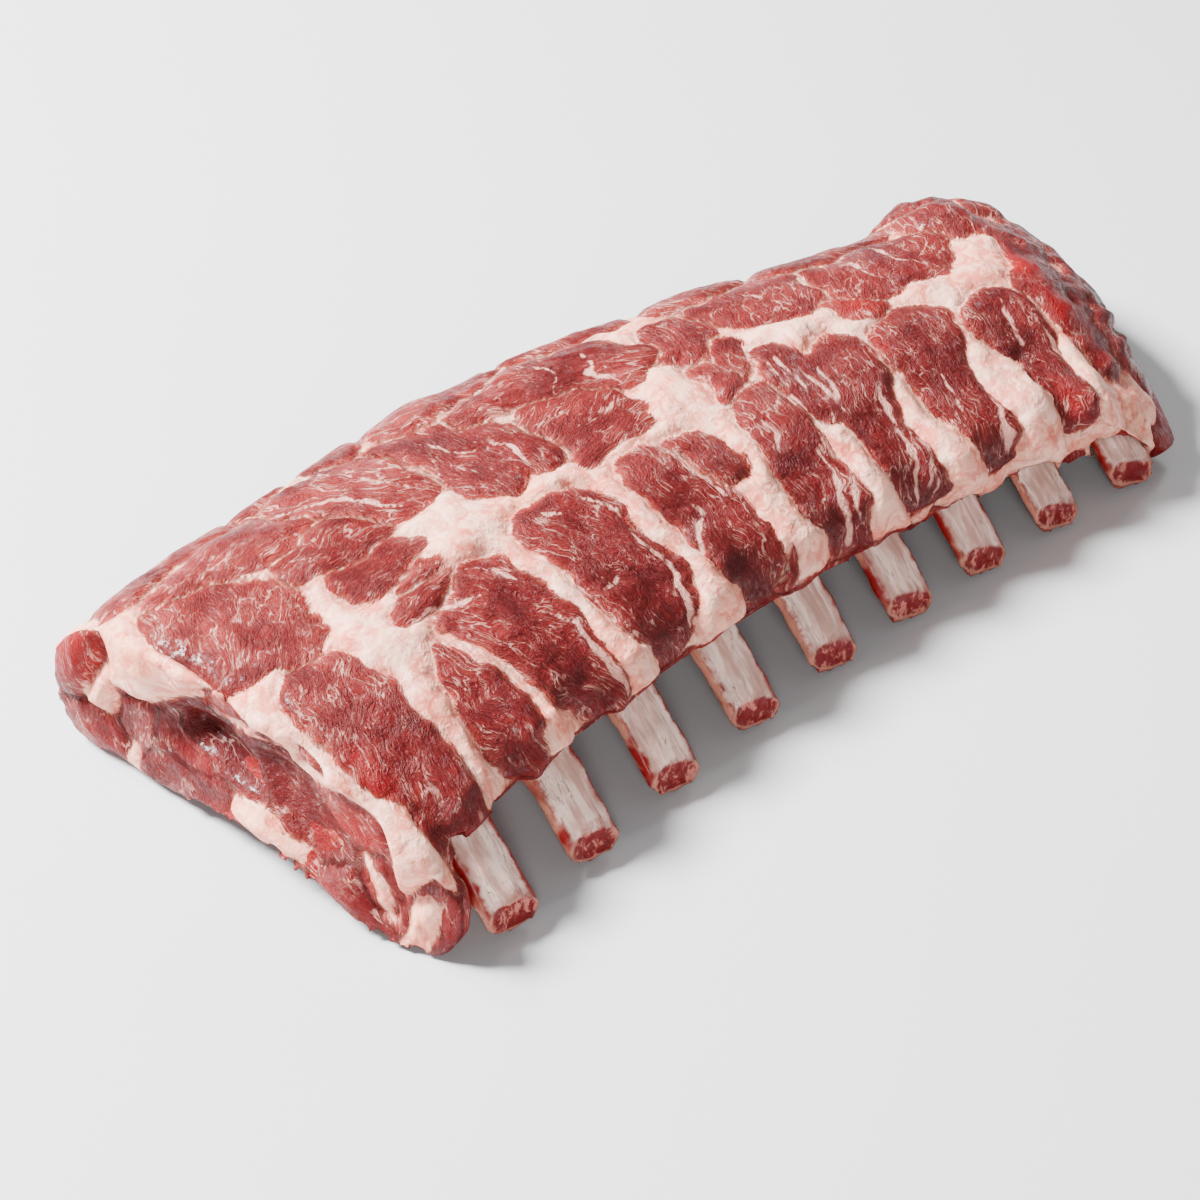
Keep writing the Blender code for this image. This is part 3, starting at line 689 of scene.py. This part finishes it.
blood = on_skin_and_end(BLOOD, END_BLOOD)
# Under the rack and below the front edge the flesh is reddened: partly its own colour, partly painted
# shade
blood = np.maximum(blood, 0.6 * shade)
at_root = over_rib * smooth_step(26, 10, turn) * (turn > -12) * (1 - on_wide_end)
blood = np.maximum(blood, 0.75 * at_root * smooth_step(-0.2, 0.4, fine_wander[:, 1]))
veil = smooth_step(0.0, 0.6, noise_at(base, 13, 51.0)) * 0.7
veil = np.where(cut, patch(face_y, face_z, 44, 18, 10, 12), veil)
peach = on_skin_and_end(PEACH, END_PEACH)
white = on_skin_and_end(WHITE, END_WHITE)
blush = smooth_step(-0.15, 0.5, noise_at(base, 11, 57.0)) * (1 - white)
blush = np.maximum(blush, 0.9 * at_root)
store(meat.data, "depth", depth)
store(meat.data, "seam", seam - FAR_FROM_SEAM * np.maximum(on_wide_end, shade))
store(meat.data, "grain", grain)
store(meat.data, "flesh_tint", np.stack([dark, blood, veil], 1))
store(meat.data, "fat_tint", np.stack([peach, white, blush], 1))
print("tints stored for", len(base), "points")

# %% [markdown]
# ## Writing materials
# A finish is a sum of noises, masks and colours. Written as nodes that is long, so a small class
# wraps a socket and lets Python's own signs add the Math nodes.


# %% Sockets that can be added and multiplied
class Field:
    """An output socket on which arithmetic can be written."""

    def __init__(self, finish, socket):
        self.finish = finish
        self.socket = socket

    def math(self, operation, *values):
        return self.finish.node("ShaderNodeMath", {"operation": operation}, dict(enumerate(values)))

    def __add__(self, other):
        return self.math("ADD", self, other)

    def __sub__(self, other):
        return self.math("SUBTRACT", self, other)

    def __rsub__(self, other):
        return self.math("SUBTRACT", other, self)

    def __mul__(self, other):
        return self.math("MULTIPLY", self, other)

    def __abs__(self):
        return self.math("ABSOLUTE", self)

    __radd__ = __add__
    __rmul__ = __mul__


class Finish:
    """A material under construction."""

    def __init__(self, name):
        self.material = bpy.data.materials.new(name)
        self.material.use_nodes = True
        self.tree = self.material.node_tree
        self.shader = self.tree.nodes["Principled BSDF"]

    def node(self, kind, settings, sockets, output=0):
        """Adds a node, with its settings first and then the values or links of its sockets."""
        made = self.tree.nodes.new(kind)
        for key, value in settings.items():
            setattr(made, key, value)
        for key, value in sockets.items():
            self.connect(value, made.inputs[key])
        return Field(self, made.outputs[output])

    def connect(self, value, socket):
        if isinstance(value, Field):
            self.tree.links.new(value.socket, socket)
        else:
            socket.default_value = value

    def surface(self, **values):
        for key, value in values.items():
            self.connect(value, self.shader.inputs[key.replace("_", " ")])

    def place(self):
        return self.node("ShaderNodeTexCoord", {}, {}, 3)

    def stored(self, name):
        """A number kept at each point of the mesh."""
        return self.node("ShaderNodeAttribute", {"attribute_name": name}, {}, 2)

    def stored_three(self, name):
        """Three numbers kept at each point, as one vector and as its parts."""
        whole = self.node("ShaderNodeAttribute", {"attribute_name": name}, {}, 1)
        parts = [self.node("ShaderNodeSeparateXYZ", {}, {0: whole}, axis) for axis in range(3)]
        return [whole] + parts

    def vectors(self, operation, first, second):
        return self.node("ShaderNodeVectorMath", {"operation": operation}, {0: first, 1: second})

    def stretched(self, vector, factors):
        return self.vectors("MULTIPLY", vector, factors)

    def noise(self, vector, scale, detail=2.0, roughness=0.5, distortion=0.0):
        sockets = {"Vector": vector, "Scale": scale, "Detail": detail}
        sockets.update({"Roughness": roughness, "Distortion": distortion})
        return self.node("ShaderNodeTexNoise", {}, sockets)

    def ramp(self, value, low, high, start=0.0, end=1.0):
        """Goes smoothly from `start` to `end` as the value goes from `low` to `high`."""
        settings = {"interpolation_type": "SMOOTHSTEP"}
        return self.node("ShaderNodeMapRange", settings, {0: value, 1: low, 2: high, 3: start, 4: end})

    def blend(self, share, first, second):
        """A colour between two others."""
        sockets = {0: share, 6: first, 7: second}
        return self.node("ShaderNodeMix", {"data_type": "RGBA"}, sockets, 2)

    def layered(self, colour, layers):
        """Lays colours over each other, each by its own share."""
        for share, over in layers:
            colour = self.blend(share, colour, over)
        return colour

    def larger(self, first, second):
        return first.math("MAXIMUM", first, second)

    def bent(self, vector, amount):
        """Shifts a place by noise, so that straight patterns on it turn wavy."""
        sockets = {"Vector": vector, "Scale": 2.2, "Detail": 2.0}
        cloud = self.node("ShaderNodeTexNoise", {}, sockets, 1)
        shift = self.vectors("SUBTRACT", cloud, (0.5, 0.5, 0.5))
        return self.vectors("ADD", vector, self.stretched(shift, (amount * 2,) * 3))

    def cell_edges(self, vector):
        """How far each place is from the borders in a net of random cells."""
        settings = {"feature": "DISTANCE_TO_EDGE"}
        return self.node("ShaderNodeTexVoronoi", settings, {"Vector": vector, "Scale": 1.0})

    def bump(self, height, distance, strength=1.0):
        sockets = {"Height": height, "Distance": distance, "Strength": strength}
        return self.node("ShaderNodeBump", {}, sockets)


# %% [markdown]
# ## The finish of the meat
# Raw muscle is a dark mauve red, built of fibres that show as fine light and dark streaks, with
# threads and veins of pale marbling between them and a patchy wet coat that breaks into small
# glints. Fat is cream, streaked pink where blood has stained it, and light goes into it. The
# border between the two is frayed by the same noises that make the fibres.

# %% Colours
LEAN = (0.160, 0.0125, 0.0125, 1)
LEAN_DARK = (0.078, 0.0062, 0.0070, 1)
LEAN_LIGHT = (0.27, 0.033, 0.029, 1)
WET_RED = (0.26, 0.003, 0.005, 1)
VEIL = (0.32, 0.10, 0.095, 1)
MARBLING = (0.86, 0.41, 0.33, 1)
CREAM = (0.97, 0.385, 0.265, 1)
FAT_WHITE = (0.98, 0.55, 0.42, 1)
FAT_PEACH = (0.95, 0.29, 0.14, 1)
FAT_BLUSH = (0.60, 0.085, 0.06, 1)


# %% The finish itself
def meat_finish():
    f = Finish("raw_meat")
    place = f.place()
    deep = f.stored("depth")
    grain_way = f.stored_three("grain")[0]
    _, darkness, wet, film = f.stored_three("flesh_tint")
    _, warm, pale, pink = f.stored_three("fat_tint")

    rough_edge = f.noise(place, 420, 3, 0.6)
    fibres = f.noise(f.stretched(grain_way, (0.16, 1.3, 1.0)), 1.0, 3, 0.6, 0.8)
    threads = f.noise(f.stretched(grain_way, (0.065, 0.40, 1.0)), 1.0, 4, 0.62, 0.4)
    edge = deep + (rough_edge - 0.5) * 1.6 + (fibres - 0.5) * 2.4 + (threads - 0.5) * 1.5
    lean = f.ramp(edge, -0.45, 0.55)
    rim = f.ramp(abs(edge), 2.2, 0.0)
    cloud = f.noise(place, 60, 3, 0.55)
    speckle = f.noise(place, 900, 2, 0.6)
    patchy = f.noise(place, 150, 3, 0.6)

    web = f.cell_edges(f.bent(f.stretched(grain_way, (0.07, 0.29, 1.0)), 0.35))
    veins = f.ramp(web + (rough_edge - 0.5) * 0.07, 0.045, 0.008) * f.ramp(cloud + patchy, 0.94, 1.14)
    marbled = f.larger(f.ramp(abs(threads - 0.5), 0.012, 0.002) * f.ramp(patchy, 0.46, 0.62), veins)
    flecks = f.ramp(fibres, 0.66, 0.78) * f.ramp(cloud, 0.42, 0.62)
    line = f.stored("seam") + (patchy - 0.5) * 1.6 + (threads - 0.5) * 2.0

    mottle = cloud * 0.6 + patchy * 0.4 + (fibres - 0.5) * 0.35
    red = f.layered(f.blend(f.ramp(mottle, 0.34, 0.58), LEAN_DARK, LEAN), [
        (f.ramp(mottle - darkness * 0.12, 0.48, 0.74), LEAN_LIGHT),
        # Darkness is each muscle's own tone and also painted shade under the rack, below the front edge
        # and in the cut face
        (f.ramp(darkness, 0.0, 1.2, 0.0, 0.7), LEAN_DARK),
        (f.ramp(darkness, -0.1, -0.7, 0.0, 0.55), LEAN_LIGHT),
        (film * f.ramp(patchy, 0.4, 0.75) * 0.15, VEIL),
        (rim * f.ramp(rough_edge, 0.35, 0.65) * 0.45, FAT_BLUSH),
        # Wet blood; under the rack and below the front edge this red is partly painted shade
        (wet * f.ramp(cloud, 0.2, 0.6, 0.5, 0.95), WET_RED),
        (marbled * 0.5, MARBLING),
        (flecks * 0.12, MARBLING),
        (f.ramp(line, -0.35, 0.3) * 0.8, MARBLING),
    ])

    soft_cloud = f.noise(place, 95, 4, 0.6, 0.6)
    lobes = f.cell_edges(f.bent(f.stretched(place, (150, 150, 150)), 0.45))
    pillow = f.ramp(lobes, 0.0, 0.4)
    glaze = f.noise(f.stretched(grain_way, (0.45, 1.1, 1.0)), 1.0, 2, 0.7)
    stain = f.noise(place, 260, 4, 0.65, 1.2)
    fat = f.layered(f.blend(f.ramp(soft_cloud, 0.35, 0.7), CREAM, FAT_WHITE), [
        (pale * 0.7, FAT_WHITE),
        (warm * f.ramp(soft_cloud, 0.3, 0.65, 0.35, 0.9), FAT_PEACH),
        (pink * f.ramp(stain, 0.5, 0.72) * 0.55, FAT_BLUSH),
        (wet * f.ramp(stain, 0.42, 0.62) * 0.8, WET_RED),
        (rim * f.ramp(stain, 0.38, 0.7) * 0.5, FAT_BLUSH),
        (f.ramp(threads, 0.51, 0.62) * f.ramp(patchy, 0.38, 0.6) * 0.6, FAT_BLUSH),
        (f.ramp(pillow, 0.35, 0.0) * f.ramp(soft_cloud, 0.66, 0.42) * 0.55, FAT_BLUSH),
    ])
    colour = f.blend(lean, fat, red)

    ripple = f.noise(f.stretched(grain_way, (0.22, 0.5, 1.0)), 1.6, 3, 0.65, 1.5)
    lean_relief = fibres * 0.3 + threads * 0.4 + ripple * 0.9 + marbled * 0.25 + glaze * 0.6
    fat_relief = stain * 0.12 + soft_cloud * 0.45 + speckle * 0.02 + pillow * 0.32
    relief = lean * lean_relief + (1 - lean) * fat_relief + rim * -0.2
    shine = f.noise(place, 420, 3, 0.6)
    f.surface(
        Base_Color=colour,
        Roughness=f.ramp(shine, 0.38, 0.62, 0.55, 0.32) + (1 - lean) * 0.05,
        Normal=f.bump(relief, 1.1 * MM, 0.9),
        Subsurface_Weight=0.12,
        Subsurface_Scale=0.004,
        Subsurface_Radius=(1.0, 0.35, 0.25),
        Specular_IOR_Level=0.14,
        Coat_Weight=f.ramp(f.noise(place, 700, 4, 0.75), 0.48, 0.60, 0.0, 0.28) * (1 - wet * 0.9),
        Coat_Roughness=0.2,
    )
    return f.material


raw_meat = meat_finish()
meat.data.materials.append(raw_meat)
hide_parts("meat")
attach(meat, "root")
print("nodes in the meat's finish:", len(raw_meat.node_tree.nodes))

# %% [markdown]
# ## The bones
# Each rib end is scraped, so it shows grey-white bone with fine lengthwise scratches. A red line
# of torn skin is left along each edge, the sinew beside it is tan and pink, and the sawn end
# shows a thin ring of hard bone round red and cream sponge. All nine are made by one function
# from their own solids, whose square section is drawn in to an oval towards the tip.


# %% One rib
BARE_RUN, BEND_RUN = 14, 20  # mm of each rib that run straight, and then bend level
TIP_SLOPE, TIP_HEIGHT = 1.1, 5.3
HALF_WIDE, HALF_THICK = 9.0, 3.7
OVAL_POWER = 2.3  # 2 would be an ellipse; more is squarer
BONE_SQUARE = 0.8 * MM


def make_rib(name):
    piece = copy_of(name, name.replace("rib", "bone"))
    remeshed(piece, BONE_SQUARE)
    points = smoothed(piece.data, vectors_of(piece.data, "co") / MM, 4)
    set_points(piece.data, points)
    facing = vectors_of(piece.data, "normal")
    low, high = (np.array(corner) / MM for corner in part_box(name))
    middle = (low[0] + high[0]) / 2
    run = points[:, 1] - low[1]
    bend = np.clip(run - BARE_RUN, 0, BEND_RUN)
    slope = TIP_SLOPE * (1 - bend / BEND_RUN)
    climbed = np.minimum(run, BARE_RUN) + bend - bend ** 2 / (2 * BEND_RUN)
    middle_line = TIP_HEIGHT + TIP_SLOPE * climbed
    square = np.stack([0 * slope, -slope, 0 * slope + 1], 1) / np.hypot(slope, 1)[:, None]
    across = (points[:, 0] - middle) / HALF_WIDE
    through = (points[:, 2] - middle_line) * square[:, 2] / HALF_THICK
    ring = np.maximum(np.abs(across), np.abs(through))
    from_middle = (np.abs(across) ** OVAL_POWER + np.abs(through) ** OVAL_POWER) ** (1 / OVAL_POWER)
    oval = ring / np.maximum(from_middle, 1e-6)
    drawn = (1 - oval) * smooth_step(34, 22, run)
    points = points - square * (drawn * through * HALF_THICK)[:, None]
    points[:, 0] -= drawn * across * HALF_WIDE
    sawn = smooth_step(0.72, 0.9, -facing[:, 1]) * smooth_step(6.5, 4.5, run)
    scratches = noise_at(points * (1, 0.12, 0.25), 2.4, middle)
    uneven = noise_at(points, 7, middle)
    sponge = noise_at(points, 1.8, middle)
    top = smooth_step(0.2, 0.6, facing[:, 2])
    flank = smooth_step(0.75, 1.0, np.abs(across)) * (1 - top)
    rise = (0.4 * scratches * top + 0.7 * uneven) * (1 - sawn) + 0.35 * sponge * sawn
    rise -= 0.5 * sawn * smooth_step(0.85, 0.6, ring) + 0.4 * flank
    free = smooth_step(40, 24, run) * smooth_step(0.5, 3.0, points[:, 2])
    moved = points + facing * (rise * free)[:, None]
    moved = settled(piece.data, moved, smooth_step(3.5, 1.2, points[:, 2]), 10)
    moved[:, 2] = np.maximum(moved[:, 2], ABOVE_TABLE)
    set_points(piece.data, moved)
    piece.data.shade_smooth()
    store(piece.data, "bone_map", np.stack([across, run, points[:, 2]], 1))
    store(piece.data, "sawn", sawn)
    store(piece.data, "ring", ring)
    store(piece.data, "looks_up", facing[:, 2])
    return piece


# %% [markdown]
# The finish reads how far across and along the bone each point is, so that the red line keeps to
# the edges and the sponge to the sawn face.

# %% The finish of the bones
BONE = (0.60, 0.33, 0.265, 1)
BONE_LIGHT = (0.98, 0.68, 0.58, 1)
BONE_GREY = (0.22, 0.10, 0.085, 1)
SINEW = (0.58, 0.225, 0.155, 1)
SINEW_RED = (0.26, 0.008, 0.008, 1)
MARROW = (0.19, 0.004, 0.006, 1)
SPONGE = (0.58, 0.17, 0.13, 1)


def bone_finish():
    f = Finish("rib_bone")
    place = f.place()
    _, across, run, _ = f.stored_three("bone_map")
    sawn = f.stored("sawn")
    up = f.stored("looks_up")
    ring = f.stored("ring")
    wobble = f.noise(place, 260, 3, 0.6) - 0.5
    lines = f.noise(f.stretched(place, (1.0, 0.14, 0.14)), 520, 4, 0.6, 0.5)
    broad = f.noise(f.stretched(place, (1.0, 0.4, 0.4)), 150, 3, 0.6)
    cracks = f.ramp(abs(lines - 0.5), 0.014, 0.002) * f.ramp(broad, 0.46, 0.60)
    bone = f.layered(f.blend(f.ramp(lines + (broad - 0.5) * 1.2, 0.34, 0.66), BONE, BONE_LIGHT), [
        (f.ramp(broad + wobble, 0.62, 0.85) * 0.4, SINEW),
        (cracks * 0.7, BONE_GREY),
    ])

    edge = abs(across) + wobble * 0.3
    fleshy = f.larger(f.ramp(edge, 0.74, 0.88), f.ramp(up + wobble * 0.4, 0.30, 0.05))
    left = f.ramp(across, -0.1, -0.5)
    sinew = f.blend(left * f.ramp(broad, 0.42, 0.56), SINEW_RED, SINEW)
    red_line = f.ramp(abs(edge - 0.80), 0.14, 0.04) * f.ramp(wobble, -0.12, 0.08)
    under_line = f.ramp(up + wobble * 0.5, -0.35, -0.6)
    sinew = f.blend(f.larger(red_line, under_line) * 0.9, sinew, SINEW_RED)
    colour = f.layered(f.blend(fleshy, bone, sinew), [
        (f.ramp(run + wobble * 8, 3.0, 0.8) * 0.6, SINEW_RED),
        (f.ramp(run + wobble * 14, 23.0, 30.0) * 0.7, SINEW_RED),
    ])

    stain = f.noise(place, 520, 3, 0.65)
    cells = f.noise(f.stretched(place, (1.0, 1.0, 0.5)), 420, 4, 0.7, 0.6)
    face = f.layered(f.blend(f.ramp(cells + (stain - 0.5) * 0.5, 0.50, 0.62), MARROW, SPONGE), [
        (f.ramp(ring + wobble * 0.25, 0.70, 0.82) * 0.85, SINEW),
        (f.ramp(ring + wobble * 0.6, 0.92, 1.02) * 0.8, SINEW_RED),
    ])
    colour = f.blend(sawn, colour, face)
    relief = lines * (1 - sawn) * 0.5 - cracks * 0.5 + cells * sawn * 0.9 + broad * 0.3
    f.surface(
        Base_Color=colour,
        Roughness=f.ramp(fleshy, 0.0, 1.0, 0.42, 0.28),
        Normal=f.bump(relief, 0.6 * MM, 0.8),
        Subsurface_Weight=0.08,
        Subsurface_Scale=0.003,
        Subsurface_Radius=(1.0, 0.5, 0.4),
        Specular_IOR_Level=0.25,
    )
    return f.material


rib_bone = bone_finish()
for rib_name in rib_nodes:
    bone_piece = make_rib(rib_name)
    bone_piece.data.materials.append(rib_bone)
    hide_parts(rib_name)
    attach(bone_piece, "root")
print("bones made:", len(rib_nodes))

# %% [markdown]
# ## The studio
# The rack lies on a plain pale floor. One broad light high at the back on the left gives soft
# shadows towards the front right, and a small one beside it sharpens them. Two weak ones fill the
# front and touch the far end, and an even sky does the rest. The camera looks down on the wide
# end from the front left.

# %% Floor
bpy.ops.mesh.primitive_grid_add(x_subdivisions=8, y_subdivisions=8, size=6, location=(0, 0, 0))
floor = bpy.context.object
floor.name = "floor"
floor_finish = Finish("pale_floor")
floor_cloud = floor_finish.noise(floor_finish.place(), 3, 2)
floor_tone = floor_finish.blend(floor_cloud, (0.64, 0.64, 0.65, 1), (0.71, 0.71, 0.72, 1))
floor_finish.surface(Base_Color=floor_tone, Roughness=0.5)
floor.data.materials.append(floor_finish.material)


# %% Lights
LIT_PLACE = Vector((0, 0, 0.02))


def add_area(name, location, size, power):
    data = bpy.data.lights.new(name, "AREA")
    data.shape = "DISK"
    data.size = size
    data.energy = power
    lamp = bpy.data.objects.new(name, data)
    lamp.location = location
    lamp.rotation_euler = (LIT_PLACE - Vector(location)).to_track_quat("-Z", "Y").to_euler()
    bpy.context.scene.collection.objects.link(lamp)


add_area("key", (-0.7, 0.9, 1.2), 0.5, 156)
add_area("window", (-0.3, 0.95, 0.95), 0.16, 12)
add_area("fill", (-0.9, -1.0, 0.8), 0.4, 8)
add_area("edge", (1.2, 0.4, 1.1), 0.4, 5)
sky = bpy.data.worlds.new("sky")
sky.use_nodes = True
background = sky.node_tree.nodes["Background"]
background.inputs["Color"].default_value = (0.97, 0.985, 1.0, 1)
background.inputs["Strength"].default_value = 0.23
bpy.context.scene.world = sky

# %% Camera
VIEW_TURN = math.radians(-45.789)
VIEW_RISE = math.radians(40)
VIEW_DISTANCE = 0.95
VIEW_MIDDLE = Vector((-32.81, 6.79, 0)) * MM
FOCAL_LENGTH, SENSOR_WIDTH = 100.9, 36
backwards = Vector((
    math.sin(VIEW_TURN) * math.cos(VIEW_RISE),
    -math.cos(VIEW_TURN) * math.cos(VIEW_RISE),
    math.sin(VIEW_RISE),
))
lens = bpy.data.cameras.new("camera")
lens.sensor_width = SENSOR_WIDTH
lens.lens = FOCAL_LENGTH
camera = bpy.data.objects.new("camera", lens)
camera.location = VIEW_MIDDLE + backwards * VIEW_DISTANCE
camera.rotation_euler = backwards.to_track_quat("Z", "Y").to_euler()
bpy.context.scene.collection.objects.link(camera)
bpy.context.scene.camera = camera
print("camera at", [round(value, 3) for value in camera.location])
